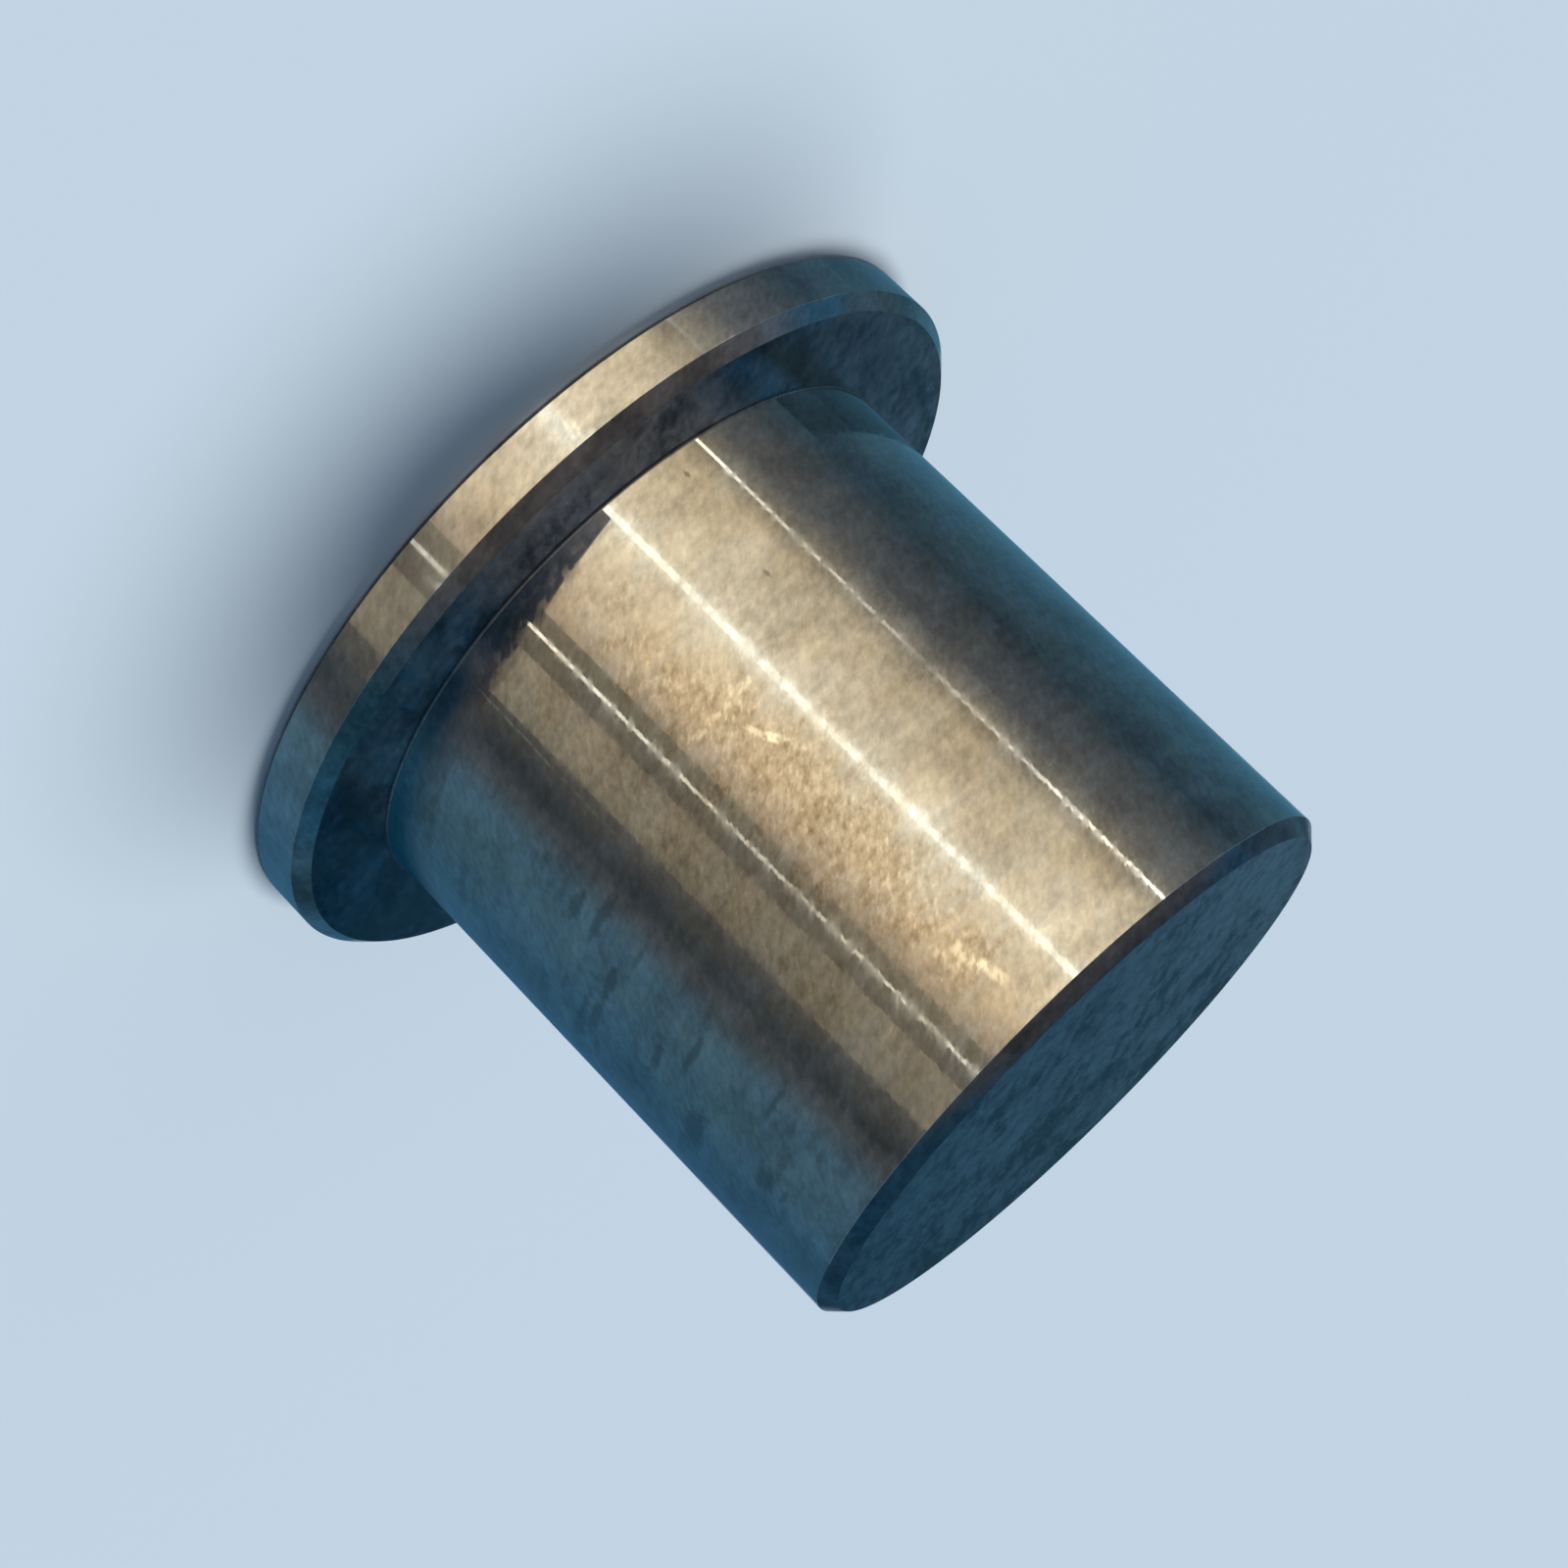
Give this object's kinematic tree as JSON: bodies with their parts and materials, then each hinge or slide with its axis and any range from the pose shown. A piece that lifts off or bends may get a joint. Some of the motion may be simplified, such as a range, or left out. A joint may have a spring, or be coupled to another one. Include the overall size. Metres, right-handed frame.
{
  "type": "flanged bushing",
  "caption": "Turned steel bushing with a thin round flange, a ground cylindrical body, a closed chamfered nose and a blind bore from the flange side.",
  "frame": {"origin": "centre of the flange's outer face, on which the bushing stands", "axes": "+Z along the bushing's axis, from the flange to the closed nose"},
  "size_m": [0.0504, 0.0504, 0.0403],
  "materials": {
    "ground_steel": "fine ground, with light handling marks"
  },
  "bodies": {
    "root": {"flanged_bushing": "ground_steel"}
  },
  "joints": []
}
